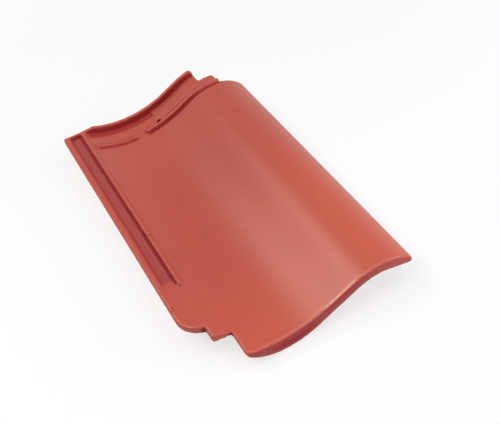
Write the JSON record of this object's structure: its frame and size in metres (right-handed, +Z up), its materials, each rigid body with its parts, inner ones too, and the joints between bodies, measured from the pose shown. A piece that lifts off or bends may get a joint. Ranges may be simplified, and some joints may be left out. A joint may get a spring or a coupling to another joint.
{
  "type": "interlocking clay roof tile",
  "caption": "Single-wave clay roof tile with a pan and a roll, a side lock, a ribbed head lock, stepped corners and hanging nibs, laid in overlapping courses on battens.",
  "frame": {"origin": "on the floor under the middle of the tile's box, where the tile lies on its nose lip and its two nibs", "axes": "+X across the tile from the side lock to the cover edge, +Y up the roof slope from the nose to the head, +Z up through the weathered face"},
  "size_m": [0.207, 0.345, 0.0516],
  "materials": {
    "fired_clay": "satin fired red clay slip"
  },
  "bodies": {
    "root": {"roof_tile": "fired_clay"}
  },
  "joints": []
}
